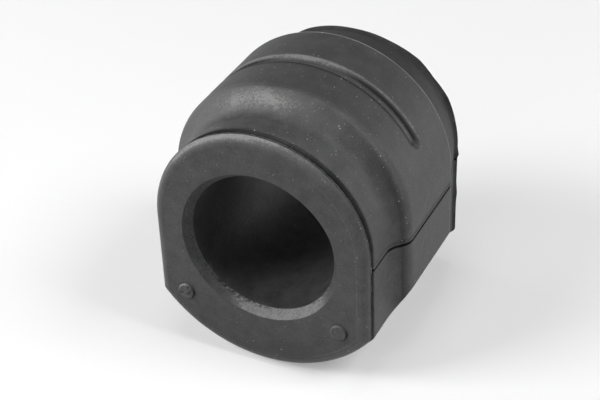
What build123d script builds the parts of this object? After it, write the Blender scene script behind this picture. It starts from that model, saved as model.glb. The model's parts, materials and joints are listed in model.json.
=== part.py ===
"""Moulded rubber bush that holds an anti-roll bar in its clamp bracket.

One solid of black rubber. The bar passes along Y through the bore, and the bracket's strap
goes over the crown and is held between the two end flanges. Z is up, and the origin is on
the bore's axis, halfway along it. Millimetres.

Every cross-section is the same kind of outline: a half-round crown, two upright sides and a
shallow arc underneath. It is set by its half width, the height of its crown and its sole.
"""
from build123d import *
import math
import os

# --- bore ---------------------------------------------------------------------------------
bore_radius = 15.0
bore_length = 46.3              # length of the bush, from end face to end face
mouth_flare = 1.45              # how much wider the bore is at each end face
mouth_depth = 1.9               # length of that flare along the bore

# --- end flanges --------------------------------------------------------------------------
flange_half_width = 22.5
flange_crown_height = 24.4      # top of the flange above the bore's axis
front_flange_thickness = 2.0
front_rim_land = 0.3            # square edge left behind the round of the front flange
rear_flange_thickness = 1.6
rear_rim_chamfer = 0.6

# --- groove behind the front flange --------------------------------------------------------
groove_width = 1.7
groove_depth = 1.8              # below the flange, on the crown and the sides

# --- neck and shoulder ---------------------------------------------------------------------
neck_drop = 0.2                 # how far the neck lies below the flange
neck_crown_length = 5.7         # from the groove to the foot of the shoulder, on the crown
neck_side_length = 7.5          # the same, level with the bore's axis
shoulder_crown_length = 3.9     # from the foot of the shoulder to its brow, on the crown
shoulder_side_length = 3.2      # the same, level with the bore's axis
foot_radius = 4.0               # hollow round at the foot of the shoulder
brow_radius = 1.6               # round at its brow

# --- body ----------------------------------------------------------------------------------
body_half_width = 25.3
body_crown_height = 28.3
body_end_margin = 10.4          # from the body's rear edge to the rear end face
body_edge_step = 0.25           # small step down behind the body's rear edge

# --- channel across the crown --------------------------------------------------------------
channel_start = 8.5             # from the brow of the shoulder to the channel
channel_floor_width = 1.5
channel_ramp_width = 1.2        # the sloping rear wall
channel_depth = 0.55
channel_half_angle = 62.0       # how far it runs down each side from the top, in degrees

# --- underside -----------------------------------------------------------------------------
flange_sole_radius = 28.0       # arc under the front flange
flange_sole_depth = 27.5        # lowest point of that arc below the bore's axis
body_sole_radius = 28.6
body_sole_depth = 28.1
rear_sole_radius = 32.1         # the rear end is flatter, and as deep as the body
sole_corner_radius = 1.2        # where the upright sides meet the sole

# --- ejector pads on the front face ---------------------------------------------------------
pad_radius = 1.75
pad_height = 0.45
pad_edge_chamfer = 0.2
pad_half_spacing = 16.6
pad_drop = 14.95                # below the bore's axis

# --- places along the bore, worked out from the sizes above ----------------------------------
front_rim_radius = front_flange_thickness - front_rim_land
front_face = -bore_length / 2
rear_face = bore_length / 2
groove_front = front_face + front_flange_thickness
neck_start = groove_front + groove_width
side_foot = neck_start + neck_side_length
crown_foot = neck_start + neck_crown_length
side_brow = side_foot + shoulder_side_length
crown_brow = crown_foot + shoulder_crown_length
body_rear = rear_face - body_end_margin
rear_flange_front = rear_face - rear_flange_thickness
channel_front = side_brow + channel_start
overlap = 0.5                   # how far joined pieces run into each other
prism_bottom = -body_sole_depth - overlap
tolerance = 1e-3                # how exactly an edge or a corner is recognised


def section(place, half_width, crown_height, sole_radius, sole_depth):
    """The bush's outline at one place along the bore, as a face square to Y."""
    crown_centre = crown_height - half_width
    sole_centre = sole_radius - sole_depth
    corner_height = sole_centre - math.sqrt(sole_radius**2 - half_width**2)
    left_spring, right_spring = (-half_width, crown_centre), (half_width, crown_centre)
    left_corner, right_corner = (-half_width, corner_height), (half_width, corner_height)
    outline = Wire([
        Edge.make_line((*left_corner, 0), (*left_spring, 0)),
        Edge.make_three_point_arc((*left_spring, 0), (0, crown_height, 0), (*right_spring, 0)),
        Edge.make_line((*right_spring, 0), (*right_corner, 0)),
        Edge.make_three_point_arc((*right_corner, 0), (0, -sole_depth, 0), (*left_corner, 0)),
    ])
    face = Face(outline)
    corners = [v for v in face.vertices() if abs(v.Y - corner_height) < tolerance]
    face = face.fillet_2d(sole_corner_radius, corners)
    square_to_bore = Plane(origin=(0, place, 0), x_dir=(1, 0, 0), z_dir=(0, -1, 0))
    return square_to_bore * face


def slab(start, end, half_width, crown_height, sole_radius, sole_depth):
    """A straight length of one outline, from start to end along the bore."""
    face = section(start, half_width, crown_height, sole_radius, sole_depth)
    return extrude(face, amount=end - start, dir=(0, 1, 0))


def front_flange():
    """End plate whose front edge is fully rounded."""
    plate = slab(front_face, groove_front, flange_half_width, flange_crown_height,
                 flange_sole_radius, flange_sole_depth)
    face = plate.faces().sort_by(Axis.Y)[0]
    return fillet(face.edges(), front_rim_radius)


def groove_core():
    """The rubber left at the bottom of the groove behind the front flange."""
    return slab(groove_front - overlap, neck_start + overlap,
                flange_half_width - groove_depth, flange_crown_height - groove_depth,
                flange_sole_radius - groove_depth, flange_sole_depth - groove_depth)


def upright_prism(start, end, half_width, crown_height):
    """A straight length of crown and sides that runs down past the sole."""
    crown_centre = crown_height - half_width
    left_spring, right_spring = (-half_width, start, crown_centre), (half_width, start, crown_centre)
    left_foot, right_foot = (-half_width, start, prism_bottom), (half_width, start, prism_bottom)
    outline = Wire([
        Edge.make_line(left_foot, left_spring),
        Edge.make_three_point_arc(left_spring, (0, start, crown_height), right_spring),
        Edge.make_line(right_spring, right_foot),
        Edge.make_line(right_foot, left_foot),
    ])
    return extrude(Face(outline), amount=end - start, dir=(0, 1, 0))


def leaning_plane(side_place, crown_place, crown_height):
    """Plane across the bore that leans so that it meets the crown sooner than the sides."""
    lean = (crown_place - side_place) / crown_height
    return Plane(origin=(0, side_place, 0), x_dir=(1, 0, 0), z_dir=(0, 1, -lean))


def edges_on(form, plane):
    """The crown and side edges of a form that lie in a plane."""
    return [e for e in form.edges()
            if all(abs(plane.to_local_coords(e @ t).Z) < tolerance for t in (0, 0.5, 1))
            and (e @ 0.5).Z > prism_bottom + tolerance]


def shoulder_form():
    """Neck that swells into the body, sooner on the crown than on the sides."""
    foot_plane = leaning_plane(side_foot, crown_foot, flange_crown_height)
    brow_plane = leaning_plane(side_brow, crown_brow, body_crown_height)
    neck = split(
        upright_prism(neck_start, channel_front, flange_half_width - neck_drop,
                      flange_crown_height - neck_drop),
        bisect_by=foot_plane, keep=Keep.BOTTOM)
    swollen = split(
        upright_prism(neck_start, channel_front, body_half_width, body_crown_height),
        bisect_by=brow_plane, keep=Keep.TOP)
    foot = neck.faces().sort_by(Axis.Y)[-1]
    brow = swollen.faces().sort_by(Axis.Y)[0]
    form = neck + loft([foot, brow], ruled=True) + swollen
    form = fillet(edges_on(form, foot_plane), foot_radius)
    return fillet(edges_on(form, brow_plane), brow_radius)


def neck_and_shoulder():
    """The shoulder form with its arched sole and rounded lower corners."""
    length = channel_front - neck_start
    sole_centre = body_sole_radius - body_sole_depth
    along = Plane(origin=(0, neck_start, sole_centre), x_dir=(1, 0, 0), z_dir=(0, 1, 0))
    sole = along * Cylinder(body_sole_radius, length,
                            align=(Align.CENTER, Align.CENTER, Align.MIN))
    above = along * Box(2 * body_sole_radius, body_crown_height, length,
                        align=(Align.CENTER, Align.MAX, Align.MIN))
    form = shoulder_form() & (sole + above)
    corners = [e for e in form.edges()
               if abs(math.hypot((e @ 0.5).X, (e @ 0.5).Z - sole_centre) - body_sole_radius) < tolerance
               and abs((e @ 0).Y - (e @ 1).Y) > overlap]
    return fillet(corners, sole_corner_radius)


def body():
    """Widest part, which fills the bracket."""
    return slab(channel_front, body_rear, body_half_width, body_crown_height,
                body_sole_radius, body_sole_depth)


def rear_taper():
    """Cone-like fall from the body's rear edge to the rear flange."""
    return loft([
        section(body_rear, body_half_width - body_edge_step,
                body_crown_height - body_edge_step, body_sole_radius, body_sole_depth),
        section(rear_flange_front, flange_half_width, flange_crown_height,
                rear_sole_radius, body_sole_depth),
    ], ruled=True)


def rear_flange():
    """Rear end plate with a small chamfer on its edge."""
    plate = slab(rear_flange_front, rear_face, flange_half_width, flange_crown_height,
                 rear_sole_radius, body_sole_depth)
    face = plate.faces().sort_by(Axis.Y)[-1]
    return chamfer(face.edges(), rear_rim_chamfer)


def channel():
    """Shallow channel across the crown: a flat floor, a sloping rear wall, round ends."""
    crown_centre = body_crown_height - body_half_width
    floor_radius = body_half_width - channel_depth
    above = body_half_width + overlap
    floor_end = channel_front + channel_floor_width
    ramp_end = floor_end + channel_ramp_width
    ramp_over = channel_ramp_width * overlap / channel_depth
    outline = Polyline(
        (0, channel_front, crown_centre + above),
        (0, channel_front, crown_centre + floor_radius),
        (0, floor_end, crown_centre + floor_radius),
        (0, ramp_end + ramp_over, crown_centre + above),
        close=True)
    crown_axis = Axis((0, 0, crown_centre), (0, 1, 0))
    half = revolve(make_face(outline), crown_axis, channel_half_angle)
    end_radius = (ramp_end - channel_front) / 2
    drill = Plane(origin=(0, channel_front + end_radius, crown_centre + floor_radius)) * (
        Cylinder(end_radius, above - floor_radius,
                 align=(Align.CENTER, Align.CENTER, Align.MIN)))
    end = drill.rotate(crown_axis, channel_half_angle)
    right = half + end
    return right + right.mirror(Plane.YZ)


def bore():
    """Through bore with a flared mouth at each end."""
    half_profile = make_face(Polyline(
        (0, front_face, 0),
        (bore_radius + mouth_flare, front_face, 0),
        (bore_radius, front_face + mouth_depth, 0),
        (bore_radius, rear_face - mouth_depth, 0),
        (bore_radius + mouth_flare, rear_face, 0),
        (0, rear_face, 0),
        close=True))
    return revolve(half_profile, Axis.Y)


def pads():
    """Two round pads that stand out of the front face beside the bore."""
    made = []
    for side in (-1, 1):
        foot = Plane(origin=(side * pad_half_spacing, front_face + overlap, -pad_drop),
                     x_dir=(1, 0, 0), z_dir=(0, -1, 0))
        pad = foot * Cylinder(pad_radius, pad_height + overlap,
                              align=(Align.CENTER, Align.CENTER, Align.MIN))
        top = pad.faces().sort_by(Axis.Y)[0]
        made.append(chamfer(top.edges(), pad_edge_chamfer))
    return made


def rubber_bush():
    """The whole bush as one solid."""
    rubber = front_flange() + groove_core() + neck_and_shoulder() + body()
    rubber = rubber + rear_taper() + rear_flange()
    rubber = rubber - channel()
    rubber = rubber - bore()
    for pad in pads():
        rubber = rubber + pad
    return rubber


os.makedirs("parts", exist_ok=True)
bush = rubber_bush()
print("solids", len(bush.solids()), "volume", round(bush.volume), "size", bush.bounding_box().size)
export_step(bush, "parts/rubber_bush.step")
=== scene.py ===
"""Looks of a moulded rubber bush for an anti-roll bar.

The skin is one closed mesh. Rings of points run out over the front face, along the outside,
back over the rear face and home through the bore. Every ring on the outside is the same kind
of D-shaped outline, and a column is the same place on every ring. Relief is then pressed
into the skin: the channel over the crown, the parting line of the mould, ragged edges, and
the slight waviness of rubber.

Lengths are in metres. +Y runs along the bore, to the tapered end, and Z is up.
"""

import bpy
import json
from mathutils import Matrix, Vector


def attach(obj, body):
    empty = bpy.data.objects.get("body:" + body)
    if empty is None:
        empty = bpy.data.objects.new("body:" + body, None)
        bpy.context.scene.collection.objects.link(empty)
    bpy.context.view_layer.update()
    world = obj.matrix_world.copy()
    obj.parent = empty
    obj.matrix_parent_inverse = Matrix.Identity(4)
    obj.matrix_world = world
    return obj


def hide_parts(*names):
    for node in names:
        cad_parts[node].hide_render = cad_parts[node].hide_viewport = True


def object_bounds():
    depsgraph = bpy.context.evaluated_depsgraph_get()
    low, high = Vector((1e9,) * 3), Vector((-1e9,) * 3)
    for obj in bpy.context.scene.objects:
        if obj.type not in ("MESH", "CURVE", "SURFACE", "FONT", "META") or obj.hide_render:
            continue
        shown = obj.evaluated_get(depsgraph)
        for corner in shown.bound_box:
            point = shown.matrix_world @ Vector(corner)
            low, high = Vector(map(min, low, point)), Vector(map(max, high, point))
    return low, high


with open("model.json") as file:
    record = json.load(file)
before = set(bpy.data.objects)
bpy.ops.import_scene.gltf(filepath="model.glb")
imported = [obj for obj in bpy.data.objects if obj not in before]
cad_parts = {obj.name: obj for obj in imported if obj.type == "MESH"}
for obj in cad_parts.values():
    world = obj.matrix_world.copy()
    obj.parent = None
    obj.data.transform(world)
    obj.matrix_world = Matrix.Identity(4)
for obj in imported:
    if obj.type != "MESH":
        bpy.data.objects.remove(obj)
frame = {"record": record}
CAD_BOX = [list(corner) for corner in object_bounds()]

import json
import math

import bpy
import numpy as np
from bpy.props import FloatProperty, FloatVectorProperty, IntProperty, PointerProperty
from mathutils import Matrix, Vector, noise

bl_info = {
    "name": "Rubber Bush Looks",
    "version": (1, 0, 0),
    "blender": (4, 5, 0),
    "location": "3D View > Sidebar > Rubber Bush",
    "description": "Gives a moulded anti-roll bar bush its rubber skin, marks and studio",
    "category": "Add Mesh",
}

MM = 0.001
NODE = "rubber_bush"
BODY = "root"
BORE = next(m for m in frame["record"]["mounts"] if m["name"] == "bore")["dims"]
LOWEST, HIGHEST = CAD_BOX
PAD_HEIGHT = 0.45 * MM


def length(name, description, default):
    """A size in metres."""
    return FloatProperty(name=name, description=description, default=default, precision=5,
                         subtype="DISTANCE", unit="LENGTH")


def amount(name, description, default, low=0.0, high=1.0):
    """A plain number between two limits."""
    return FloatProperty(name=name, description=description, default=default, min=low, max=high)


def colour(name, description, default):
    """A linear colour."""
    return FloatVectorProperty(name=name, description=description, default=default, size=3,
                               min=0.0, max=1.0, subtype="COLOR")


# --- what a user would change -----------------------------

class BushSizes(bpy.types.PropertyGroup):
    """Main sizes of the skin, the same as the solid's."""

    bore_radius: length("Bore radius", "Radius of the straight bore", BORE["r_mm"] * MM)
    mouth_flare: length("Mouth flare", "How much wider the bore is at each end", 1.45 * MM)
    mouth_depth: length("Mouth depth", "Length of the flare along the bore", 1.9 * MM)
    front_face: length("Front face", "Place of the front face", LOWEST[1] + PAD_HEIGHT)
    rear_face: length("Rear face", "Place of the rear face", HIGHEST[1])
    flange_half_width: length("Flange half width", "Half the width of both flanges", 22.5 * MM)
    flange_crown: length("Flange crown", "Height of both flanges' crown", 24.4 * MM)
    flange_thickness: length("Flange thickness", "Thickness of the front flange", 2.0 * MM)
    rim_radius: length("Rim round", "Round of the front rim", 1.7 * MM)
    groove_width: length("Groove width", "Width of the groove", 1.7 * MM)
    groove_depth: length("Groove depth", "Depth of the groove", 1.8 * MM)
    neck_drop: length("Neck drop", "How far the neck lies below the flange", 0.2 * MM)
    body_half_width: length("Body half width", "Half the width of the body", HIGHEST[0])
    body_crown: length("Body crown", "Height of the body's crown", HIGHEST[2])
    sole_depth: length("Sole depth", "Depth of the sole under the bore's axis", -LOWEST[2])
    corner_radius: length("Corner round", "Round where sides meet the sole", 1.2 * MM)
    rear_chamfer: length("Rear chamfer", "Chamfer on the rear rim", 0.6 * MM)


class SkinRelief(bpy.types.PropertyGroup):
    """Small marks pressed into the skin."""

    waviness: length("Waviness", "Slow rise and fall of the moulded surface", 0.035 * MM)
    seam_height: length("Parting lip", "How far the upper lip of the parting line stands out",
                        0.10 * MM)
    seam_depth: length("Parting groove", "Depth of the dark line below the lip", 0.42 * MM)
    seam_level: length("Parting level", "Height of the parting line", -0.7 * MM)
    ragged_edge: length("Ragged edge", "Wander of the edge behind the front rim", 0.14 * MM)
    mouth_rag: length("Ragged mouth", "Depth of the torn strip inside the bore's mouth",
                      0.16 * MM)
    seed: IntProperty(name="Seed", description="Changes all the random marks", default=3)


class RubberFinish(bpy.types.PropertyGroup):
    """Colours and finish of the rubber."""

    rubber: colour("Rubber", "Colour of clean rubber", (0.045, 0.045, 0.046))
    # colour of the dust and of the painted sheen and highlights
    dust_and_sheen_colour: colour("Dust_and_sheen", "Colour of the dull bloom on raised places", (0.26, 0.26, 0.258))
    dust: colour("Dust", "Colour of the specks of talc", (0.62, 0.62, 0.6))
    roughness: amount("Roughness", "Roughness of clean rubber", 0.42)
    grain_size: length("Grain size", "Size of the fine grain", 0.32 * MM)
    grain_height: amount("Grain height", "Strength of the fine grain", 0.8)
    speck_count: IntProperty(name="Specks", description="Specks of talc per square metre",
                             default=200000, min=0)
    speck_size: length("Speck size", "Half the width of the largest specks", 0.13 * MM)


class StudioLight(bpy.types.PropertyGroup):
    """Strength of each lamp, in watts, and of the room."""

    key: amount("Key", "Soft lamp up on the left in front", 3.7, 0.0, 50.0)
    front: amount("Front", "Soft lamp in front", 0.6, 0.0, 50.0)
    top: amount("Top", "Soft lamp overhead", 0.9, 0.0, 50.0)
    right: amount("Right", "Soft lamp up on the right", 2.6, 0.0, 50.0)
    left: amount("Left", "Low lamp on the left", 1.3, 0.0, 50.0)
    back: amount("Back", "Low lamp behind on the right", 0.7, 0.0, 50.0)
    room: amount("Room", "Even light from all round", 0.02, 0.0, 5.0)


# --- mesh helpers -----------------------------------------

def new_object(name, data):
    """An object at the origin, in the scene."""
    made = bpy.data.objects.new(name, data)
    bpy.context.scene.collection.objects.link(made)
    return made


def smooth_piece(name, vertices, faces, material_of_face, materials):
    """A smooth-shaded object from arrays of points and faces."""
    mesh = bpy.data.meshes.new(name)
    mesh.from_pydata(vertices.tolist(), [], [list(face) for face in faces])
    for material in materials:
        mesh.materials.append(material)
    mesh.polygons.foreach_set("material_index", np.asarray(material_of_face, dtype=np.int32))
    mesh.polygons.foreach_set("use_smooth", np.ones(len(mesh.polygons), dtype=bool))
    mesh.update()
    return new_object(name, mesh)


def keep_values(made, **values):
    """Stores named values on an object's points."""
    for name, numbers in values.items():
        layer = made.data.attributes.new(name, "FLOAT", "POINT")
        layer.data.foreach_set("value", np.asarray(numbers, dtype=np.float32).ravel())


def settle(made):
    """Bakes an object's modifiers into a plain mesh and removes them."""
    bpy.context.view_layer.update()
    graph = bpy.context.evaluated_depsgraph_get()
    baked = bpy.data.meshes.new_from_object(made.evaluated_get(graph), depsgraph=graph)
    made.modifiers.clear()
    made.data = baked


def bands(rows, columns, closed):
    """Four-point faces between neighbouring rings; closed joins the last ring to the first."""
    starts = np.arange(rows if closed else rows - 1)
    row, column = np.meshgrid(starts, np.arange(columns), indexing="ij")
    right, below = (column + 1) % columns, (row + 1) % rows
    corners = (row * columns + column, row * columns + right,
               below * columns + right, below * columns + column)
    return np.stack(corners, axis=2).reshape(-1, 4)


def smooth_noise(points, size, seed):
    """Soft noise between about -1 and 1 at each point."""
    shift = Vector((seed * 7.31, seed * 3.17, seed * 5.93))
    return np.array([noise.noise(Vector(p) / size + shift) for p in points])


def unit(vectors):
    """The vectors' directions, each of length 1."""
    return vectors / np.maximum(np.linalg.norm(vectors, axis=-1, keepdims=True), 1e-12)


def ramp(values, start, end):
    """0 before start, 1 after end, and smooth between."""
    t = np.clip((values - start) / (end - start), 0.0, 1.0)
    return t * t * (3.0 - 2.0 * t)


# --- the outline and its rings ----------------------------

CROWN_COLUMNS = 104
UPPER_SIDE_COLUMNS = 5
LOWER_SIDE_COLUMNS = 32
CORNER_COLUMNS = 6
SOLE_COLUMNS = 44
SEAM_STEPS = np.array([0.8, 0.5, 0.3, 0.17, 0.07, -0.04, -0.14, -0.24, -0.34, -0.44, -0.54, -0.6,
                       -0.78]) * MM
LEAST_ROUND = 0.05 * MM


def arc(radius, across, up, turns):
    """Points round a centre, at angles from level on the right."""
    return np.stack([across + radius * np.cos(turns), up + radius * np.sin(turns)], axis=1)


class Section:
    """One D-shaped section: its half width, crown, sole radius, sole depth and corner round."""

    def __init__(self, half_width, crown, sole_radius, sole_depth, corner):
        self.half_width = half_width
        self.crown = crown
        self.crown_centre = crown - half_width
        self.sole_radius = sole_radius
        self.sole_depth = sole_depth
        self.corner = corner

    def inset(self, by):
        """The same section, smaller by a margin all round."""
        return Section(self.half_width - by, self.crown - by, self.sole_radius - by,
                       self.sole_depth - by, max(self.corner - by, LEAST_ROUND))

    def points(self, seam_level):
        """Points round the section, from the top and clockwise as seen from the front."""
        width = self.half_width
        sole_centre = self.sole_radius - self.sole_depth
        reach = self.sole_radius - self.corner
        corner_across = width - self.corner
        corner_up = sole_centre - math.sqrt(reach**2 - corner_across**2)
        corner_end = -math.acos(corner_across / reach)

        turns = np.linspace(0.0, math.pi / 2, CROWN_COLUMNS, endpoint=False)
        crown = np.stack([width * np.sin(turns), self.crown_centre + width * np.cos(turns)],
                         axis=1)
        seam = seam_level + SEAM_STEPS
        upper = np.linspace(self.crown_centre, seam[0], UPPER_SIDE_COLUMNS, endpoint=False)
        lower = np.linspace(seam[-1], corner_up, LOWER_SIDE_COLUMNS, endpoint=False)[1:]
        heights = np.concatenate([upper, seam, lower])
        side = np.stack([np.full(len(heights), width), heights], axis=1)
        corner = arc(self.corner, corner_across, corner_up,
                     np.linspace(0.0, corner_end, CORNER_COLUMNS, endpoint=False))
        sole = arc(self.sole_radius, 0.0, sole_centre,
                   np.linspace(corner_end, -math.pi / 2, SOLE_COLUMNS))
        right = np.concatenate([crown, side, corner, sole])
        left = right[-2:0:-1] * np.array([-1.0, 1.0])
        return np.concatenate([right, left])


def standing(sizes, half_width, crown, sole_radius):
    """A section that reaches down to the sole."""
    return Section(half_width, crown, sole_radius, sizes.sole_depth, sizes.corner_radius)


def ring(outline, place):
    """An outline set at a place along the bore, which may differ from column to column."""
    return np.stack([outline[:, 0], np.broadcast_to(place, len(outline)), outline[:, 1]], axis=1)


def between(first, last, shares):
    """Rings between two rings, at given shares of the way."""
    return [first + (last - first) * share for share in shares]


def steps(count):
    """Even shares of a way, both ends left out."""
    return np.linspace(0.0, 1.0, count + 2)[1:-1]


LEAST_REACH = 0.3 * MM


def rounded_bend(before, bend, after, radius, count):
    """Rings round a bend of the lengthwise path, in place of its corner."""
    inward, outward = unit(before - bend), unit(after - bend)
    cosine = np.clip(-(inward * outward).sum(axis=1, keepdims=True), -1.0, 1.0)
    reach = np.clip(radius * np.tan(np.arccos(cosine) / 2), LEAST_REACH, None)
    return [bend + inward * reach * (1 - t)**2 + outward * reach * t**2
            for t in np.linspace(0.0, 1.0, count)]


class Lengthwise:
    """Rings of the whole skin, in order, with the name of each ring's zone."""

    def __init__(self, seam_level):
        self.seam_level = seam_level
        self.rings = []
        self.zones = []

    def add(self, zone, *rings):
        """Adds rings at the end of the path."""
        for made in rings:
            self.rings.append(made)
            self.zones.append(zone)

    def ring(self, section, place, inset=0.0):
        """A ring on a section, or inside it by an inset."""
        return ring(section.inset(inset).points(self.seam_level), place)

    def lay(self, zone, section, place, inset=0.0):
        """Adds one ring on a section, or inside it by an inset."""
        self.add(zone, self.ring(section, place, inset))


FLANGE_SOLE_RADIUS, FLANGE_SOLE_DEPTH = 28.0 * MM, 27.5 * MM
BODY_SOLE_RADIUS, TAIL_SOLE_RADIUS = 28.6 * MM, 32.1 * MM
NIP = 0.12 * MM
LIP_INSET, LIP_DEPTH = 0.08 * MM, 0.10 * MM
WITNESS_INSET = 0.4 * MM
FACE_RINGS, RIM_RINGS = 22, 11
LAND_TURN = 85


def front_lip(outward, sizes):
    """The last ring of the flare, just inside the sharp edge of the front mouth."""
    radius = sizes.bore_radius + sizes.mouth_flare - LIP_INSET
    return ring(outward * radius, sizes.front_face + LIP_DEPTH)


def front_end(path, sizes):
    """Front face from the bore's mouth to the rim, the rim's round and the groove."""
    flange = Section(sizes.flange_half_width, sizes.flange_crown, FLANGE_SOLE_RADIUS,
                     FLANGE_SOLE_DEPTH, sizes.corner_radius)
    front, rim_radius = sizes.front_face, sizes.rim_radius
    rim_start = path.ring(flange, front, rim_radius)
    outward = unit(rim_start[:, [0, 2]])
    edge = ring(outward * (sizes.bore_radius + sizes.mouth_flare), front)
    witness = path.ring(flange, front, rim_radius + WITNESS_INSET)
    path.add("mouth", front_lip(outward, sizes))
    path.add("face", edge, *between(edge, witness, [0.02, *steps(FACE_RINGS)]))
    path.add("witness", witness)
    path.add("face", *between(witness, rim_start, [0.4, 0.8]))
    for turn in np.linspace(0, 90, RIM_RINGS):
        inset = rim_radius * (1 - math.sin(math.radians(turn)))
        place = front + rim_radius * (1 - math.cos(math.radians(turn)))
        path.lay("rim" if turn < LAND_TURN else "land", flange, place, inset)
    groove_front = front + sizes.flange_thickness
    groove_back = groove_front + sizes.groove_width
    depth = sizes.groove_depth
    for zone, place, inset in (
            ("flash", groove_front - NIP, 0.0), ("flash", groove_front, NIP / 2),
            ("groove", groove_front, 3 * NIP), ("groove", groove_front, depth - NIP),
            ("groove", groove_front + NIP, depth), ("groove", groove_back - NIP, depth)):
        path.lay(zone, flange, place, inset)
    return groove_back


SIDE_FOOT, CROWN_FOOT = 7.5 * MM, 5.7 * MM
SIDE_CLIMB, CROWN_CLIMB = 3.2 * MM, 3.9 * MM
FOOT_HOLLOW = 4.0 * MM
BROW_TO_CHANNEL = 8.5 * MM
BEFORE_CHANNEL = 0.5 * MM


def neck_and_shoulder(path, sizes, groove_back):
    """Neck, hollow foot and brow of the shoulder, which comes sooner on the crown."""
    neck = standing(sizes, sizes.flange_half_width - sizes.neck_drop,
                    sizes.flange_crown - sizes.neck_drop, BODY_SOLE_RADIUS)
    body = standing(sizes, sizes.body_half_width, sizes.body_crown, BODY_SOLE_RADIUS)
    low, high = neck.points(path.seam_level), body.points(path.seam_level)
    side_foot, crown_foot = groove_back + SIDE_FOOT, groove_back + CROWN_FOOT
    side_brow, crown_brow = side_foot + SIDE_CLIMB, crown_foot + CROWN_CLIMB
    foot_lean = (crown_foot - side_foot) / sizes.flange_crown
    brow_lean = (crown_brow - side_brow) / sizes.body_crown
    channel_front = side_brow + BROW_TO_CHANNEL
    start = ring(low, groove_back + NIP)
    foot = ring(low, side_foot + foot_lean * low[:, 1])
    brow = ring(high, side_brow + brow_lean * high[:, 1])
    end = ring(high, channel_front - BEFORE_CHANNEL)
    sideways = np.clip(np.abs(high[:, :1]) / sizes.body_half_width, 0.0, 1.0)
    brow_round = (1.6 + 1.6 * sideways**2) * MM
    hollow = rounded_bend(start, foot, brow, FOOT_HOLLOW, 13)
    crest = rounded_bend(foot, brow, end, brow_round, 9)
    path.lay("neck", neck, groove_back, NIP)
    path.add("neck", start, *between(start, hollow[0], steps(9)))
    path.add("shoulder", *hollow, *between(hollow[-1], crest[0], steps(6)), *crest)
    path.add("body", *between(crest[-1], end, steps(14)), end)
    return body, channel_front


# The flash on the rear rim: its width in millimetres at angles round the crown's centre, in
# degrees from the top. Its straight runs between them are a knife's cuts.
TRIM_ANGLES = (-180, -142, -137, -112, -90, -71, -48, -26, 0, 20, 38, 49, 61.5, 76, 90, 95, 97,
               111, 117, 121, 137, 142, 180)
TRIM_WIDTHS = (0, 0, 0.40, 0.50, 0.45, 0.80, 0.40, 0.60, 0.20, 0.35, 0.85, 0.50, 0.88, 0.55, 0.45,
               0.75, 0.45, 0.40, 0.62, 0.45, 0.45, 0, 0)
# Rings of the flash: zone, place behind the rim's edge in millimetres, share of its width
TRIM_RINGS = (("taper", -0.45, 0.0), ("taper", -0.28, 0.45), ("trim", -0.05, 0.97),
              ("trim", 0.08, 1.0))
# Rings of the body's rear edge: zone, inset and place behind the edge in millimetres
BODY_EDGE = (("lip", 0.0, -0.24), ("lip", 0.02, -0.05), ("taper", 0.12, 0.0))
# Rows over the channel, behind its front edge
CHANNEL_ROWS = np.array([-0.38, -0.22, -0.06, 0.06, 0.3, 0.6, 0.9, 1.2, 1.5, 1.75, 1.95, 2.12,
                         2.3, 2.48, 2.66, 2.8, 3.0, 3.25]) * MM
PAST_CHANNEL, BEFORE_LIP = 3.7 * MM, 0.45 * MM
TAPER_AND_FLANGE, REAR_FLANGE = 10.4 * MM, 1.6 * MM
REAR_STEP = 0.25 * MM
BEHIND_FLASH, CHAMFER_EDGE = 0.20 * MM, 0.05 * MM


def trimmed(outline, section, share):
    """The outline with its flash, which a knife has trimmed to flats between corners."""
    along = np.roll(outline, -1, axis=0) - np.roll(outline, 1, axis=0)
    outward = unit(np.stack([-along[:, 1], along[:, 0]], axis=1))
    turn = np.degrees(np.arctan2(outline[:, 0], outline[:, 1] - section.crown_centre))
    width = np.interp(turn, TRIM_ANGLES, TRIM_WIDTHS) * MM * share
    return outline + outward * width[:, None]


def body_and_taper(path, sizes, body, channel_front):
    """Body with rows set for the channel, its rear edge, the taper and the rear rim."""
    rear_face, cut = sizes.rear_face, sizes.rear_chamfer
    body_rear, rim_place = rear_face - TAPER_AND_FLANGE, rear_face - cut
    plain_rows = np.linspace(PAST_CHANNEL, body_rear - channel_front - BEFORE_LIP, 14)
    for row in (*CHANNEL_ROWS, *plain_rows):
        path.lay("body", body, channel_front + row)
    for zone, inset, behind in BODY_EDGE:
        path.lay(zone, body, body_rear + behind * MM, inset * MM)
    stepped = standing(sizes, body.half_width - REAR_STEP, body.crown - REAR_STEP,
                       BODY_SOLE_RADIUS)
    tail = standing(sizes, sizes.flange_half_width, sizes.flange_crown, TAIL_SOLE_RADIUS)
    start, end = path.ring(stepped, body_rear + NIP / 2), path.ring(tail, rear_face - REAR_FLANGE)
    path.add("taper", start, *between(start, end, steps(14)), end)
    for zone, behind, share in TRIM_RINGS:
        outline = trimmed(tail.points(path.seam_level), tail, share)
        path.add(zone, ring(outline, rim_place + behind * MM))
    path.lay("trim", tail, rim_place + BEHIND_FLASH, NIP)
    path.lay("taper", tail, rear_face - NIP / 2, cut - CHAMFER_EDGE)
    rim = path.ring(tail, rear_face, cut + CHAMFER_EDGE)
    path.add("back", rim)
    return rim


def rear_and_bore(path, sizes, rim):
    """Rear face, rear mouth, the bore, and the front mouth's flare."""
    rear = sizes.rear_face
    outward = unit(rim[:, [0, 2]])
    edge = ring(outward * (sizes.bore_radius + sizes.mouth_flare), rear)
    inner_rear = ring(outward * sizes.bore_radius, rear - sizes.mouth_depth)
    inner_front = ring(outward * sizes.bore_radius, sizes.front_face + sizes.mouth_depth)
    path.add("back", *between(rim, edge, steps(9)), edge)
    path.add("back", *between(edge, inner_rear, [0.05, 0.5, 0.95]))
    path.add("bore", inner_rear)
    path.add("bore", *between(inner_rear, inner_front, [0.003, *steps(30), 0.9972]))
    path.add("mouth", inner_front)
    path.add("mouth", *between(inner_front, front_lip(outward, sizes), [0.05, *steps(9), 0.96]))


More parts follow.
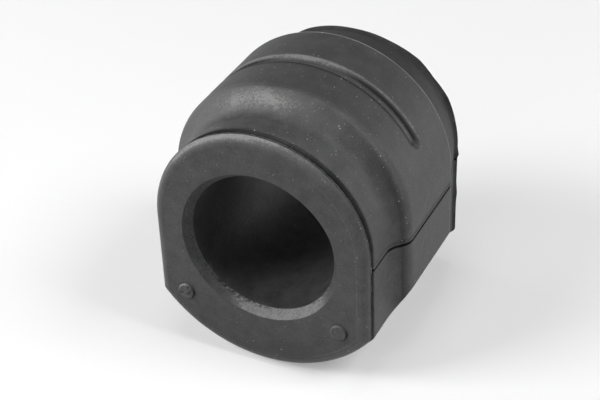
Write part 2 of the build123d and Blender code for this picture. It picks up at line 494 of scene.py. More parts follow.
# --- relief pressed into the skin -------------------------

OUTSIDE = ("neck", "shoulder", "body")
SEAMED = ("neck", "shoulder", "body", "taper")


class SkinGrid:
    """Every point of the skin, ring by ring, with the sizes and places that its marks follow."""

    def __init__(self, path, sizes, relief, body, groove_back, channel_front):
        self.points = np.array(path.rings)
        self.zones = np.array(path.zones)
        self.sizes, self.relief, self.body = sizes, relief, body
        self.groove_back, self.channel_front = groove_back, channel_front

    def axes(self):
        """The points' places across, along and up, as views of the same numbers."""
        return self.points[:, :, 0], self.points[:, :, 1], self.points[:, :, 2]

    def normals(self):
        """Outward direction at every point."""
        along = np.roll(self.points, -1, axis=0) - np.roll(self.points, 1, axis=0)
        around = np.roll(self.points, -1, axis=1) - np.roll(self.points, 1, axis=1)
        return unit(np.cross(around, along))

    def noise(self, size, offset):
        """Soft noise at every point, by its own offset from the seed."""
        values = smooth_noise(self.points.reshape(-1, 3), size, self.relief.seed + offset)
        return values.reshape(self.points.shape[:2])

    def on(self, zones):
        """Which rings are in the named zone or zones."""
        return np.isin(self.zones, zones)[:, None]

    def crown_turn(self):
        """Angle round the crown's centre, from the top and to the right, in radians."""
        across, _, up = self.axes()
        return np.arctan2(across, up - self.body.crown_centre)

    def above_seam(self):
        """Height of every point above the parting line."""
        return self.points[:, :, 2] - self.relief.seam_level

    def on_seamed_side(self, margin):
        """Which points are on the two sides where the parting line runs."""
        across = np.abs(self.points[:, :, 0])
        return self.on(SEAMED) & (across > self.sizes.flange_half_width - margin)

    def shoulder_climb(self):
        """How far each ring is up the shoulder: 0 at its foot, 1 at its brow, far off elsewhere."""
        climb = np.full(len(self.zones), -9.0)
        on_shoulder = self.zones == "shoulder"
        climb[on_shoulder] = np.linspace(0.0, 1.0, on_shoulder.sum())
        return climb[:, None]


def soft_band(values, centre, half_width):
    """1 at the centre of a band and 0 well outside it."""
    return np.exp(-((values - centre) / half_width)**2)


CHANNEL_HALF_ANGLE = 60.5
CHANNEL_FLOOR, CHANNEL_RAMP, CHANNEL_DEPTH = 1.9 * MM, 0.8 * MM, 0.55 * MM
CHANNEL_END_EDGE = 0.25 * MM
SIDE_MARGIN, DARK_SIDE_MARGIN = 1.0 * MM, 1.6 * MM
# Bands of the parting line: centre above its level, and half width
SEAM_LIP, SEAM_HOLLOW, SEAM_GROOVE = np.array([(0.10, 0.10), (0.62, 0.34), (-0.30, 0.16)]) * MM
SEAM_HOLLOW_SHARE = 0.25


def channel_relief(skin):
    """Depth of the shallow channel over the crown: flat floor, sloping rear wall, round ends."""
    across, along, up = skin.axes()
    place = along - skin.channel_front
    turn = np.abs(skin.crown_turn())
    half_angle = math.radians(CHANNEL_HALF_ANGLE)
    whole_width = CHANNEL_FLOOR + CHANNEL_RAMP
    end_radius = whole_width / 2
    past = np.maximum(turn - half_angle, 0.0) * skin.body.half_width
    from_end = np.hypot(past, place - end_radius)
    inside_end = np.clip((end_radius - from_end) / CHANNEL_END_EDGE + 0.5, 0.0, 1.0)
    front_wall = np.clip((place + NIP / 2) / NIP, 0.0, 1.0)
    rear_wall = np.clip((whole_width - place) / CHANNEL_RAMP, 0.0, 1.0)
    over_crown = np.where(turn <= half_angle, 1.0, inside_end)
    from_centre = np.hypot(across, up - skin.body.crown_centre)
    on_body = from_centre > skin.body.half_width - SIDE_MARGIN
    return CHANNEL_DEPTH * front_wall * rear_wall * over_crown * on_body


def seam_relief(skin):
    """Parting line on both sides: a thin proud lip with a narrow groove under it."""
    height, relief = skin.above_seam(), skin.relief
    lip = relief.seam_height * soft_band(height, *SEAM_LIP)
    hollow = SEAM_HOLLOW_SHARE * relief.seam_depth * soft_band(height, *SEAM_HOLLOW)
    return lip - hollow - relief.seam_depth * soft_band(height, *SEAM_GROOVE)


def press_relief(skin):
    """Presses the small marks into the skin."""
    relief = skin.relief
    wave = skin.noise(7.0 * MM, 0) + 0.5 * skin.noise(3.2 * MM, 1)
    rag = skin.noise(1.1 * MM, 2) + 0.6 * skin.noise(0.45 * MM, 3)

    depth = np.where(skin.on(OUTSIDE), channel_relief(skin), 0.0)
    depth -= relief.waviness * (wave - 1.0) * np.where(skin.on("face"), 0.5, 1.0) * 0.5
    depth -= np.where(skin.on_seamed_side(SIDE_MARGIN), seam_relief(skin), 0.0)
    skin.points = skin.points - skin.normals() * depth[:, :, None]

    across, along, up = skin.axes()
    burrs = (0.45 * soft_band(up, 0.2 * MM, 0.8 * MM)
             + 0.3 * soft_band(up, -4.2 * MM, 0.7 * MM)) * (across > 0) * MM
    along += np.where(skin.on("flash"), relief.ragged_edge * rag + burrs, 0.0)

    inward = unit(np.stack([-across, np.zeros(across.shape), -up], axis=2))
    into = along - skin.sizes.front_face
    strip = ramp(into, 0.9 * MM, 1.5 * MM) * (into < 3 * MM)
    torn = np.where(skin.on("mouth"), relief.mouth_rag * np.abs(rag) * strip, 0.0)
    skin.points = np.clip(skin.points - torn[:, :, None] * inward, LOWEST, HIGHEST)


# --- painted sheen and dust, painted shade and dark crumbs ---

def dust_and_sheen_of(skin):
    """How much painted sheen and highlight, with some dust, each point gets, from 0 to 1."""
    across, along, up = skin.axes()
    facing_right, facing_back, facing_up = np.moveaxis(skin.normals(), 2, 0)
    upper_left = np.clip(0.93 * facing_up - 0.36 * facing_right, 0.0, 1.0)
    upper_right = np.clip(0.84 * facing_right + 0.54 * facing_up, 0.0, 1.0)
    lower_inside = np.clip(0.95 * facing_up - 0.30 * facing_right, 0.0, 1.0)
    facing_left = np.clip(-facing_right, 0.0, 1.0)
    facing_front = np.clip(-facing_back / 0.68, 0.0, 1.0)
    climb = skin.shoulder_climb()
    from_lit_top = ramp(np.abs(across + 3.0 * MM), 5.0 * MM, 15.0 * MM)
    down_right = soft_band(np.degrees(np.arctan2(across, up)), 52.0, 26.0)
    place = along - skin.channel_front
    turn = np.degrees(np.abs(skin.crown_turn()))
    over_channel = ramp(-turn, -CHANNEL_HALF_ANGLE, -CHANNEL_HALF_ANGLE + 6.0)
    rear_wall = soft_band(place, 2.4 * MM, 0.5 * MM) * upper_left**2
    far_edge = soft_band(place, 3.0 * MM, 0.38 * MM)
    floor = soft_band(place, 1.1 * MM, 0.45 * MM)
    levels = (
        # painted highlight on the shoulder's slope on the crown where it faces the key lamp, with
        # some dust in its grain; then painted highlight on its brow and foot down the right side
        ("shoulder", (0.04 + 2.1 * upper_left**2) * soft_band(climb, 0.55, 0.24)
         * (1.0 - 0.35 * from_lit_top)),
        ("shoulder", down_right * (0.5 * soft_band(climb, 0.80, 0.09)
                                   + 0.3 * soft_band(climb, 0.2, 0.16))),
        # painted highlight on the rim's upper left and on its left side
        ("rim", 0.18 + 1.15 * upper_left**2 + 0.45 * facing_left),
        # painted light on the front face, lighter towards the top
        ("face", 0.08 * ramp(up, -24.0 * MM, 6.0 * MM)),
        # painted highlight on the mouth's lower arc, which faces up
        ("mouth", 0.05 + 1.1 * ramp(lower_inside, 0.45, 0.72)),
        # painted highlight along the ragged flash behind the rim
        ("flash", 0.8),
        # the witness line, paler towards the right
        ("witness", 0.45 * ramp(across, 8.0 * MM, 16.0 * MM)),
        # painted sheen on the neck and body where they face up and left, and on the outside where
        # it faces up and right
        ("neck", 0.08 * upper_left),
        (OUTSIDE, 0.42 * upper_right**3 * (1.0 - facing_front)**2 * ramp(facing_up, -0.4, 0.5)),
        ("body", 0.10 * upper_left),
        # painted highlight on the channel's rear wall, far edge and floor
        ("body", over_channel * (1.4 * rear_wall + 0.6 * far_edge + 0.25 * floor)),
        # painted highlight along the body's rear edge
        ("lip", 1.0))
    bloom = sum(skin.on(zones) * level for zones, level in levels)
    return np.clip(bloom * (1.0 + 0.25 * skin.noise(5.0 * MM, 4)), 0.0, 1.0)


def shade_and_crumbs_of(skin):
    """How much painted shade each point gets, with dark crumbs in the mouth, from 0 to 1."""
    across, along, up = skin.axes()
    height, behind = skin.above_seam(), along - skin.sizes.front_face
    near_top = ramp(up, 14.0 * MM, 25.0 * MM)
    crumbs = ramp(skin.noise(0.55 * MM, 6), -0.05, 0.2)
    lower_left = ramp(-up, 9.0 * MM, 12.5 * MM) * ramp(-across, -2.0 * MM, 1.0 * MM)
    beside_groove = soft_band(along - skin.groove_back, 0.0, 0.5 * MM)
    place = along - skin.channel_front
    turn = np.degrees(np.abs(skin.crown_turn()))
    over_channel = ramp(-turn, -CHANNEL_HALF_ANGLE - 1.5, -CHANNEL_HALF_ANGLE + 1.0)
    wall_foot = ramp(turn, 10.0, 32.0) * soft_band(place, 2.1 * MM, 0.34 * MM)
    channel_end = soft_band(turn, CHANNEL_HALF_ANGLE + 0.8, 1.3) * soft_band(
        place, 1.1 * MM, 0.6 * MM)
    levels = (
        # painted shade in the groove and on the flange's land behind the rim
        ("groove", 0.9),
        ("land", 0.8),
        # painted shade down the hollow of the shoulder's right side
        ("shoulder", 0.5 * ramp(across, 14.0 * MM, 23.0 * MM)
         * soft_band(skin.shoulder_climb(), 0.64, 0.11)),
        # painted shade on the taper and the body, stronger near the crown, and on the trimmed flash
        ("taper", 0.05 + 0.42 * near_top),
        ("trim", 0.4),
        ("body", 0.28 * near_top),
        # painted shade on the front face, darker towards the bottom
        ("face", 0.2 * ramp(-up, 12.0 * MM, 24.0 * MM)),
        # painted shade at the back of the rim on the left and at the neck's front edge beside the
        # groove; dark crumbs in the torn strip of the mouth
        ("rim", 0.8 * ramp(behind, 0.55 * MM, 0.95 * MM) * ramp(-across, 12.0 * MM, 20.0 * MM)),
        ("mouth", 0.9 * crumbs * lower_left * soft_band(behind, 1.75 * MM, 0.32 * MM)),
        ("neck", 0.9 * beside_groove * ramp(-across, -6.0 * MM, 10.0 * MM)),
        # painted shadow along the channel's front edge, and painted shade along its rear wall's
        # foot and at its round ends
        ("body", over_channel * (0.75 * soft_band(place, -0.2 * MM, 0.28 * MM) + wall_foot)),
        ("body", channel_end))
    # painted shade in the parting groove below its lip, and fainter in the hollow above it
    dark = skin.on_seamed_side(DARK_SIDE_MARGIN) * (
        soft_band(height, -0.34 * MM, 0.24 * MM) + 0.35 * soft_band(height, 0.62 * MM, 0.30 * MM))
    for zones, level in levels:
        dark = dark + skin.on(zones) * level
    return np.clip(dark, 0.0, 1.0)


# How thickly specks of talc lie on each zone; 1 elsewhere
DUSTING = {"face": 0.8, "mouth": 0.6, "bore": 0.05, "back": 0.4, "groove": 0.2, "taper": 0.35,
           "trim": 0.1}


def dusting_of(zones, bloom):
    """How thickly specks of talc lie at each point."""
    level = np.array([DUSTING.get(zone, 1.0) for zone in zones])
    return level[:, None] + 5.0 * bloom**2


# --- shader groups ----------------------------------------

class Nodes:
    """Short calls for building one node tree."""

    def __init__(self, tree):
        self.tree = tree

    def add(self, kind, inputs=None, **settings):
        """Adds a node, with its settings and what its inputs are given."""
        node = self.tree.nodes.new(kind)
        for name, value in settings.items():
            setattr(node, name, value)
        self.give(node, inputs or {})
        return node

    def give(self, node, inputs):
        """Gives a node's inputs, by name or number, a link or a plain value."""
        for name, value in inputs.items():
            self.feed(value, node.inputs[name])

    def feed(self, value, socket):
        """Gives a socket a link or a plain value; nothing for None."""
        if value is None:
            return
        if isinstance(value, bpy.types.NodeSocket):
            self.tree.links.new(value, socket)
        else:
            socket.default_value = value

    def math(self, operation, first, second=None, clamp=False):
        """Output of a math node."""
        node = self.add("ShaderNodeMath", {0: first, 1: second}, operation=operation,
                        use_clamp=clamp)
        return node.outputs[0]

    def noise(self, place, scale, detail=2.0, roughness=0.5):
        """Soft noise over a place."""
        inputs = {"Vector": place, "Scale": scale, "Detail": detail, "Roughness": roughness}
        return self.add("ShaderNodeTexNoise", inputs).outputs["Fac"]

    def spread(self, value, low, high, start=0.0, end=1.0):
        """A value eased from one range to another."""
        inputs = {"Value": value, "From Min": low, "From Max": high, "To Min": start, "To Max": end}
        node = self.add("ShaderNodeMapRange", inputs, interpolation_type="SMOOTHSTEP")
        return node.outputs["Result"]

    def blend(self, share, first, second):
        """A mix of two colours."""
        node = self.add("ShaderNodeMix", data_type="RGBA")
        for value, name in ((share, "Factor"), (first, "A"), (second, "B")):
            socket = next(s for s in node.inputs if s.name == name and s.enabled)
            if isinstance(value, (tuple, list)):
                value = tuple(value) + (1.0,) * (4 - len(value))
            self.feed(value, socket)
        return next(s for s in node.outputs if s.enabled)


GRAIN_SIZE = 0.3 * MM


def group_tree(name, inputs, outputs):
    """A shader group with a place and named numbers in, and named numbers out."""
    tree = bpy.data.node_groups.new(name, "ShaderNodeTree")
    tree.interface.new_socket("Vector", in_out="INPUT", socket_type="NodeSocketVector")
    for label, default in inputs.items():
        socket = tree.interface.new_socket(label, in_out="INPUT", socket_type="NodeSocketFloat")
        socket.default_value = default
    for label in outputs:
        tree.interface.new_socket(label, in_out="OUTPUT", socket_type="NodeSocketFloat")
    n = Nodes(tree)
    return n, n.add("NodeGroupInput").outputs, n.add("NodeGroupOutput").inputs


def grain_group():
    """Fine moulded grain: a height for a bump node and a mottle for the colour."""
    n, given, result = group_tree("moulded grain", {"Grain Size": GRAIN_SIZE},
                                  ("Height", "Mottle"))
    place = given["Vector"]
    scale = n.math("DIVIDE", 1.0, given["Grain Size"])
    fine = n.noise(place, scale, 3.0, 0.6)
    broad = n.noise(place, n.math("MULTIPLY", scale, 0.12), 3.0, 0.55)
    height = n.math("ADD", n.math("MULTIPLY", fine, 0.55), n.math("MULTIPLY", broad, 0.9))
    n.feed(height, result["Height"])
    mixed = n.math("ADD", n.math("MULTIPLY", broad, 0.5), n.math("MULTIPLY", fine, 0.5))
    n.feed(n.spread(mixed, 0.38, 0.62), result["Mottle"])
    return n.tree


def dust_and_sheen_group():
    """Patchy dust with painted sheen: a mask that follows a given amount and breaks up into fine
    grains.
    """
    n, given, result = group_tree("dust bloom", {"Amount": 0.5, "Grain Size": GRAIN_SIZE},
                                  ("Mask",))
    place, wanted = given["Vector"], given["Amount"]
    scale = n.math("DIVIDE", 1.0, given["Grain Size"])
    patches = n.noise(place, n.math("MULTIPLY", scale, 0.09), 4.0, 0.6)
    grains = n.noise(place, n.math("MULTIPLY", scale, 0.75), 2.0, 0.75)
    level = n.math("ADD", n.math("MULTIPLY", patches, 0.4), n.math("MULTIPLY", grains, 0.7))
    edge = n.math("SUBTRACT", 0.95, n.math("MULTIPLY", wanted, 0.48))
    mask = n.spread(n.math("SUBTRACT", level, edge), -0.12, 0.12)
    share = n.math("ADD", n.math("MULTIPLY", mask, 0.65), 0.35)
    n.feed(n.math("MULTIPLY", share, wanted, clamp=True), result["Mask"])
    return n.tree


# How each rubber differs from the moulded one, in the order of the skin's material slots
RUBBERS = {
    "moulded_rubber": {},
    "face_rubber": {"grain": 1.1},
    "bore_rubber": {"shade": 0.95, "rough": 0.05, "grain": 0.5},
    "torn_rubber": {"shade": 1.1, "rough": 0.1, "grain": 2.0},
    "shaded_rubber": {"rough": 0.15, "shine": 0.2},
    # the parting groove's rubber is painted shade: dark and nearly without shine
    "parting_rubber": {"shade": 0.2, "rough": 0.3, "shine": 0.03},
}
BUMP_DISTANCE = 0.25 * MM
RUBBER_IOR = 1.5


def new_material(name):
    """The nodes and the Principled shader of a new material."""
    material = bpy.data.materials.new(name)
    material.use_nodes = True
    return Nodes(material.node_tree), material.node_tree.nodes["Principled BSDF"]


def rubber_material(name, finish, groups, shade=1.0, rough=0.0, grain=1.0, shine=0.28):
    """Moulded black rubber with grain and mottle, dust with painted sheen, and painted shade."""
    n, surface = new_material(name)
    place = n.add("ShaderNodeTexCoord").outputs["Object"]
    # the kept values: dust with painted sheen, and painted shade with dark crumbs
    bloom, crevice = (n.add("ShaderNodeAttribute", attribute_name=kept).outputs["Fac"]
                      for kept in ("bloom", "crevice"))
    patterned = {"Vector": place, "Grain Size": finish.grain_size}
    moulded = n.add("ShaderNodeGroup", node_tree=groups["grain"])
    # this group's mask is dust with painted sheen
    dust = n.add("ShaderNodeGroup", node_tree=groups["dust"])
    n.give(moulded, patterned)
    n.give(dust, {**patterned, "Amount": bloom})
    mottle, dust_and_sheen_mask = moulded.outputs["Mottle"], dust.outputs["Mask"]

    clean = tuple(c * shade for c in finish.rubber)
    # the darkened colour is painted shade and dark crumbs; the mix toward the sheen colour paints
    # sheen and highlights over the dust
    pale, shade_and_crumb_colour = tuple(c * 1.6 for c in clean), tuple(c * 0.15 for c in clean)
    base = n.blend(dust_and_sheen_mask, n.blend(mottle, clean, pale), tuple(finish.dust_and_sheen_colour))
    base = n.blend(n.math("MULTIPLY", crevice, 0.88), base, shade_and_crumb_colour)

    smoothest = finish.roughness + rough
    rough_all = n.spread(mottle, 0.0, 1.0, smoothest, smoothest + 0.08)
    rough_all = n.math("ADD", rough_all, n.math("MULTIPLY", dust_and_sheen_mask, 0.3), clamp=True)
    rough_all = n.math("ADD", rough_all, n.math("MULTIPLY", crevice, 0.35), clamp=True)

    bump = n.add("ShaderNodeBump", {"Strength": finish.grain_height * grain,
                                    "Distance": BUMP_DISTANCE,
                                    "Height": moulded.outputs["Height"]})
    n.give(surface, {"Base Color": base, "Roughness": rough_all, "Normal": bump.outputs["Normal"],
                     "IOR": RUBBER_IOR, "Specular IOR Level": shine})


def talc_material(finish):
    """White talc of the specks."""
    n, surface = new_material("talc_specks")
    place = n.add("ShaderNodeTexCoord").outputs["Object"]
    grey = tuple(c * 0.45 for c in finish.dust)
    tint = n.blend(n.noise(place, 900.0, 1.0), grey, tuple(finish.dust))
    n.give(surface, {"Base Color": tint, "Roughness": 0.85})


def finishes():
    """All the rubbers and the talc, made once and kept by name."""
    finish = bpy.context.scene.rubber_finish
    if "moulded_rubber" not in bpy.data.materials:
        groups = {"grain": grain_group(), "dust": dust_and_sheen_group()}
        for name, differences in RUBBERS.items():
            rubber_material(name, finish, groups, **differences)
        talc_material(finish)
    return bpy.data.materials


# --- operators --------------------------------------------

# Rubber of each zone of the skin; the moulded one elsewhere
RUBBER_OF_ZONE = {"face": "face_rubber", "witness": "face_rubber", "bore": "bore_rubber",
                  "mouth": "torn_rubber", "groove": "shaded_rubber", "taper": "shaded_rubber",
                  "trim": "shaded_rubber"}
# Faces of the parting groove's painted shade, from and to, above its level
PARTING_FACES = (-0.57 * MM, -0.10 * MM)


def rubber_of_faces(skin):
    """Material slot of every face of the skin, by its zone and the parting line."""
    slots = list(RUBBERS)
    index = [slots.index(RUBBER_OF_ZONE.get(zone, "moulded_rubber")) for zone in skin.zones]
    index = np.repeat(np.array(index)[:, None], skin.points.shape[1], axis=1)
    height, (lowest, highest) = skin.above_seam(), PARTING_FACES
    # faces of the parting groove get the dark rubber of its painted shade
    parting_shade_faces = (height > lowest) & (height < highest) & skin.on_seamed_side(DARK_SIDE_MARGIN)
    index[parting_shade_faces] = slots.index("parting_rubber")
    return index.ravel()


class BUSH_OT_skin(bpy.types.Operator):
    """Build the moulded skin of the bush in place of the plain solid"""

    bl_idname = "bush.skin"
    bl_label = "Moulded skin"

    def execute(self, context):
        sizes, relief = context.scene.bush_sizes, context.scene.skin_relief
        path = Lengthwise(relief.seam_level)
        groove_back = front_end(path, sizes)
        body, channel_front = neck_and_shoulder(path, sizes, groove_back)
        rear_and_bore(path, sizes, body_and_taper(path, sizes, body, channel_front))
        grid = SkinGrid(path, sizes, relief, body, groove_back, channel_front)
        press_relief(grid)
        materials = finishes()
        rows, columns = grid.points.shape[:2]
        skin = smooth_piece("moulded_skin", grid.points.reshape(-1, 3),
                            bands(rows, columns, closed=True), rubber_of_faces(grid),
                            [materials[name] for name in RUBBERS])
        bloom = dust_and_sheen_of(grid)
        keep_values(skin, bloom=bloom, crevice=shade_and_crumbs_of(grid),
                    dusting=dusting_of(grid.zones, bloom))
        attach(skin, BODY)
        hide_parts(NODE)
        return {"FINISHED"}


PAD_ACROSS, PAD_UP, PAD_RADIUS = 16.6 * MM, -14.95 * MM, 1.75 * MM
PAD_COLUMNS = 64
PIT_DEPTH = 0.28 * MM
# Rings of a pad, from its hidden foot to its top: share of the radius, share of the height
PAD_RINGS = ((1.0, -0.3), (1.0, 0.0), (1.0, 0.5), (0.97, 0.82), (0.9, 0.97),
             *((share, 1.0) for share in np.linspace(0.84, 0.06, 14)))
# Each pad: name, side, how deep its pits are, its own offset from the seed
PADS = (("pad_left", -1, 1.0, 0), ("pad_right", 1, 0.2, 9))


def pad_shape(sizes, across, pitted, seed, own_seed):
    """A low round pad, closed underneath, with pits in its top."""
    turns = np.linspace(0.0, 2 * math.pi, PAD_COLUMNS, endpoint=False)
    rings = []
    for share, rise in PAD_RINGS:
        circle = np.stack([across + PAD_RADIUS * share * np.cos(turns),
                           np.full(PAD_COLUMNS, sizes.front_face - PAD_HEIGHT * rise),
                           PAD_UP + PAD_RADIUS * share * np.sin(turns)], axis=1)
        if rise == 1.0:
            pits = smooth_noise(circle, 0.85 * MM, seed + own_seed)
            pits += 0.5 * smooth_noise(circle, 0.35 * MM, seed + 5)
            circle[:, 1] += PIT_DEPTH * pitted * ramp(pits, 0.08, 0.45)
        rings.append(circle)
    vertices = np.concatenate(rings + [rings[0].mean(axis=0)[None], rings[-1].mean(axis=0)[None]])
    faces = bands(len(rings), PAD_COLUMNS, closed=False).tolist()
    back, front = len(vertices) - 2, len(vertices) - 1
    last = (len(rings) - 1) * PAD_COLUMNS
    for column in range(PAD_COLUMNS):
        following = (column + 1) % PAD_COLUMNS
        faces.append([back, following, column])
        faces.append([front, last + column, last + following])
    return vertices, faces


class BUSH_OT_pads(bpy.types.Operator):
    """Add the two round pads on the front face, one crisp and one pitted"""

    bl_idname = "bush.pads"
    bl_label = "Ejector pads"

    def execute(self, context):
        sizes, relief = context.scene.bush_sizes, context.scene.skin_relief
        rubber = finishes()["face_rubber"]
        for name, side, pitted, own_seed in PADS:
            across = side * PAD_ACROSS
            vertices, faces = pad_shape(sizes, across, pitted, relief.seed, own_seed)
            pad = smooth_piece(name, vertices, faces, np.zeros(len(faces)), [rubber])
            out = (vertices - [across, 0.0, PAD_UP]) / PAD_RADIUS
            rise = (sizes.front_face - vertices[:, 1]) / PAD_HEIGHT
            on_edge = np.hypot(out[:, 0], out[:, 2]) > 0.86
            # painted highlight on the pad's edge toward the upper left and painted shade on its
            # wall toward the lower right; the pitted pad a little paler all over
            to_light = (0.75 * out[:, 2] - 0.65 * out[:, 0]) * on_edge
            keep_values(pad, bloom=np.clip(0.25 * pitted + 0.9 * to_light, 0.0, 1.0),
                        crevice=np.clip(-1.3 * to_light * (rise < 0.98), 0.0, 1.0))
            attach(pad, BODY)
        return {"FINISHED"}


FLAKE_STRETCH = ((0.4, 0.6, 0.2), (1.0, 1.3, 0.4))


def speck_tree():
    """Geometry nodes that scatter small flat flakes over a surface, by its dusting."""
    tree = bpy.data.node_groups.new("talc scatter", "GeometryNodeTree")
    for label, kind in (("Geometry", "Geometry"), ("Flakes per area", "Float"),
                        ("Flake size", "Float"), ("Seed", "Int"), ("Material", "Material")):
        tree.interface.new_socket(label, in_out="INPUT", socket_type="NodeSocket" + kind)
    tree.interface.new_socket("Geometry", in_out="OUTPUT", socket_type="NodeSocketGeometry")
    n = Nodes(tree)
    given, result = n.add("NodeGroupInput").outputs, n.add("NodeGroupOutput")
    dusting = n.add("GeometryNodeInputNamedAttribute", {"Name": "dusting"}, data_type="FLOAT")
    density = n.math("MULTIPLY", dusting.outputs["Attribute"], given["Flakes per area"])
    scatter = n.add("GeometryNodeDistributePointsOnFaces",
                    {"Mesh": given["Geometry"], "Density": density, "Seed": given["Seed"]})
    flake = n.add("GeometryNodeMeshIcoSphere", {"Radius": 1.0, "Subdivisions": 1})
    chance = n.add("FunctionNodeRandomValue", {"Seed": given["Seed"]}, data_type="FLOAT")
    luck = next(socket for socket in chance.outputs if socket.enabled)
    share = n.math("ADD", n.math("MULTIPLY", n.math("POWER", luck, 5.0), 0.6), 0.4)
    size = n.math("MULTIPLY", share, given["Flake size"])
    shape = n.add("FunctionNodeRandomValue", dict(enumerate(FLAKE_STRETCH)),
                  data_type="FLOAT_VECTOR")
    stretch = n.add("ShaderNodeVectorMath", {0: shape.outputs[0], "Scale": size},
                    operation="SCALE")
    lay = n.add("GeometryNodeInstanceOnPoints",
                {"Points": scatter.outputs["Points"], "Instance": flake.outputs["Mesh"],
                 "Rotation": scatter.outputs["Rotation"], "Scale": stretch.outputs["Vector"]})
    real = n.add("GeometryNodeRealizeInstances", {"Geometry": lay.outputs["Instances"]})
    paint = n.add("GeometryNodeSetMaterial", {"Geometry": real.outputs["Geometry"],
                                              "Material": given["Material"]})
    n.give(result, {"Geometry": paint.outputs["Geometry"]})
    return tree


class BUSH_OT_specks(bpy.types.Operator):
    """Scatter specks of talc over the skin"""

    bl_idname = "bush.specks"
    bl_label = "Talc specks"

    def execute(self, context):
        finish, relief = context.scene.rubber_finish, context.scene.skin_relief
        specks = new_object("talc_specks", bpy.data.objects["moulded_skin"].data.copy())
        scatter = specks.modifiers.new("talc scatter", "NODES")
        scatter.node_group = speck_tree()
        values = {"Flakes per area": float(finish.speck_count), "Flake size": finish.speck_size,
                  "Seed": relief.seed, "Material": finishes()["talc_specks"]}
        for item in scatter.node_group.interface.items_tree:
            if item.in_out == "INPUT" and item.name in values:
                scatter[item.identifier] = values[item.name]
        settle(specks)
        if not specks.data.vertices:
            raise RuntimeError("no specks were made")
        places = np.empty(len(specks.data.vertices) * 3, dtype=np.float32)
        specks.data.vertices.foreach_get("co", places)
        inside = np.clip(places.reshape(-1, 3), LOWEST, HIGHEST)
        specks.data.vertices.foreach_set("co", inside.astype(np.float32).ravel())
        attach(specks, BODY)
        return {"FINISHED"}


FLOOR_RADIUS = 1.5
FLOOR_SIDES = 96
LAMP_DISTANCE = 0.75
FLOOR_GREY, FLOOR_GLOW = (0.7, 0.7, 0.7), 0.28
FLOOR_FADE = (0.10, 0.45)
WHITE = (1.0, 1.0, 1.0, 1.0)
WALL_FADE = (0.1, 0.36)
# Each lamp: name, turn and rise in degrees, width in metres, its strength's name
LAMPS = (("key_lamp", -48, 38, 0.30, "key"), ("front_lamp", 0, 36, 0.30, "front"),
         ("top_lamp", 0, 86, 0.30, "top"), ("right_lamp", 92, 50, 0.30, "right"),
         ("left_lamp", -92, 12, 0.25, "left"), ("back_lamp", 132, 13, 0.25, "back"))


class BUSH_OT_stage(bpy.types.Operator):
    """Set up the floor, the lamps and the camera"""

    bl_idname = "bush.stage"
    bl_label = "Studio"

    def execute(self, context):
        scene, light = context.scene, context.scene.studio_light
        scene.view_settings.view_transform = "Standard"
        pale_floor()
        for name, turn, rise, size, strength in LAMPS:
            soft_lamp(name, turn, rise, size, getattr(light, strength))
        room_light(light.room)
        set_camera(scene)
        return {"FINISHED"}


def pale_floor():
    """A wide pale floor under the bush, which fades to plain white away from it."""
    mesh = bpy.data.meshes.new("floor")
    turn = np.linspace(0.0, 2 * math.pi, FLOOR_SIDES, endpoint=False)
    corners = [(FLOOR_RADIUS * math.cos(t), FLOOR_RADIUS * math.sin(t), LOWEST[2]) for t in turn]
    mesh.from_pydata(corners, [], [list(range(FLOOR_SIDES))])
    floor = new_object("floor", mesh)
    n, surface = new_material("pale_floor")
    place = n.add("ShaderNodeTexCoord").outputs["Object"]
    middle = n.add("ShaderNodeVectorMath", {0: place}, operation="LENGTH").outputs["Value"]
    colour_there = n.blend(n.spread(middle, *FLOOR_FADE), FLOOR_GREY, (0.0, 0.0, 0.0))
    seen = n.add("ShaderNodeLightPath").outputs
    share = n.math("MAXIMUM", seen["Is Camera Ray"], mirrored(n, seen))
    glow = n.spread(middle, *FLOOR_FADE, FLOOR_GLOW, 1.0)
    n.give(surface, {"Base Color": colour_there, "Roughness": 0.9, "Specular IOR Level": 0.0,
                     "Emission Color": WHITE, "Emission Strength": n.math("MULTIPLY", share, glow)})
    mesh.materials.append(bpy.data.materials["pale_floor"])


def mirrored(n, seen):
    """1 for what a reflection or clear stuff sees, from the light path's outputs."""
    return n.math("MAXIMUM", seen["Is Glossy Ray"], seen["Is Transmission Ray"])


def direction(turn, rise):
    """Unit vector from the bush, turned from its front and raised, in degrees."""
    turn, rise = math.radians(turn), math.radians(rise)
    return Vector((math.sin(turn) * math.cos(rise), -math.cos(turn) * math.cos(rise),
                   math.sin(rise)))


def soft_lamp(name, turn, rise, size, power):
    """A square lamp that looks at the bush."""
    lamp = bpy.data.lights.new(name, "AREA")
    lamp.shape = "SQUARE"
    lamp.size = size
    lamp.energy = power
    made = new_object(name, lamp)
    away = direction(turn, rise)
    made.location = away * LAMP_DISTANCE
    made.rotation_euler = (-away).to_track_quat("-Z", "Y").to_euler()


def room_light(strength):
    """Faint even light; the camera sees white all round, and a reflection sees it low down."""
    world = bpy.data.worlds.new("studio_room")
    bpy.context.scene.world = world
    world.use_nodes = True
    world.node_tree.nodes.clear()
    n = Nodes(world.node_tree)
    seen = n.add("ShaderNodeLightPath").outputs
    split = n.add("ShaderNodeSeparateXYZ", {0: n.add("ShaderNodeTexCoord").outputs["Generated"]})
    wall = n.spread(split.outputs["Z"], *WALL_FADE, 1.0, 0.0)
    share = n.math("MAXIMUM", seen["Is Camera Ray"], n.math("MULTIPLY", mirrored(n, seen), wall))
    level = n.math("ADD", n.math("MULTIPLY", share, 1.0 - strength), strength)
    background = n.add("ShaderNodeBackground", {"Color": WHITE, "Strength": level})
    n.add("ShaderNodeOutputWorld", {"Surface": background.outputs[0]})


CAMERA_TURN, CAMERA_RISE, CAMERA_TILT = 26.85, 34.47, -2.21
CAMERA_DISTANCE, CAMERA_ACROSS, CAMERA_UP = 286.89 * MM, -8.00 * MM, -9.39 * MM
FOCAL_PIXELS, IMAGE_WIDTH, SENSOR_WIDTH = 1514.31, 600.0, 36.0


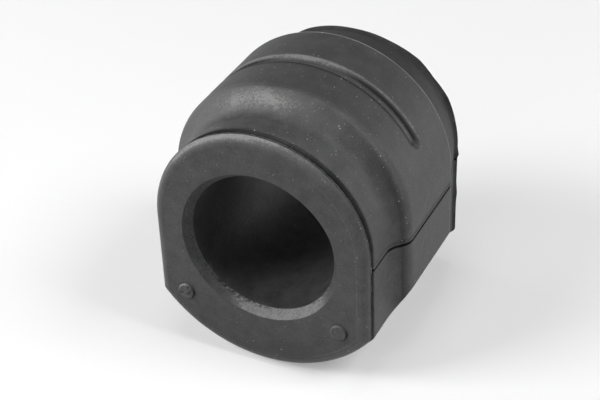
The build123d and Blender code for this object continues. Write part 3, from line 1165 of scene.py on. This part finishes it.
def set_camera(scene):
    """Camera up to the right in front of the bush, tilted a little."""
    back, tilt = direction(CAMERA_TURN, CAMERA_RISE), math.radians(CAMERA_TILT)
    right = (-back).cross(Vector((0.0, 0.0, 1.0))).normalized()
    above = right.cross(-back)
    right, above = (math.cos(tilt) * right + math.sin(tilt) * above,
                    math.cos(tilt) * above - math.sin(tilt) * right)
    face_centre = Vector((0.0, LOWEST[1] + PAD_HEIGHT, 0.0))
    place = face_centre + back * CAMERA_DISTANCE - right * CAMERA_ACROSS - above * CAMERA_UP
    lens = bpy.data.cameras.new("camera")
    lens.sensor_width = SENSOR_WIDTH
    lens.lens = FOCAL_PIXELS / IMAGE_WIDTH * SENSOR_WIDTH
    lens.clip_start = 0.01
    camera = new_object("camera", lens)
    turned = Matrix((right, above, back)).transposed()
    camera.matrix_world = Matrix.Translation(place) @ turned.to_4x4()
    scene.camera = camera


class BUSH_PT_panel(bpy.types.Panel):
    """Buttons and values of the rubber bush"""

    bl_label = "Rubber Bush"
    bl_idname = "BUSH_PT_panel"
    bl_space_type = "VIEW_3D"
    bl_region_type = "UI"
    bl_category = "Rubber Bush"

    def draw(self, context):
        for operator in OPERATORS:
            self.layout.operator(operator.bl_idname)
        for settings in SETTINGS:
            group, box = getattr(context.scene, settings), self.layout.box()
            for name in group.__annotations__:
                box.prop(group, name)


SETTINGS = {"bush_sizes": BushSizes, "skin_relief": SkinRelief, "rubber_finish": RubberFinish,
            "studio_light": StudioLight}
OPERATORS = (BUSH_OT_skin, BUSH_OT_pads, BUSH_OT_specks, BUSH_OT_stage)
CLASSES = (*SETTINGS.values(), *OPERATORS, BUSH_PT_panel)


def register():
    for item in CLASSES:
        bpy.utils.register_class(item)
    for name, group in SETTINGS.items():
        setattr(bpy.types.Scene, name, PointerProperty(type=group))


def unregister():
    for name in SETTINGS:
        delattr(bpy.types.Scene, name)
    for item in reversed(CLASSES):
        bpy.utils.unregister_class(item)


def main():
    register()
    bpy.ops.bush.skin()
    bpy.ops.bush.pads()
    bpy.ops.bush.specks()
    bpy.ops.bush.stage()


if __name__ == "__main__":
    main()
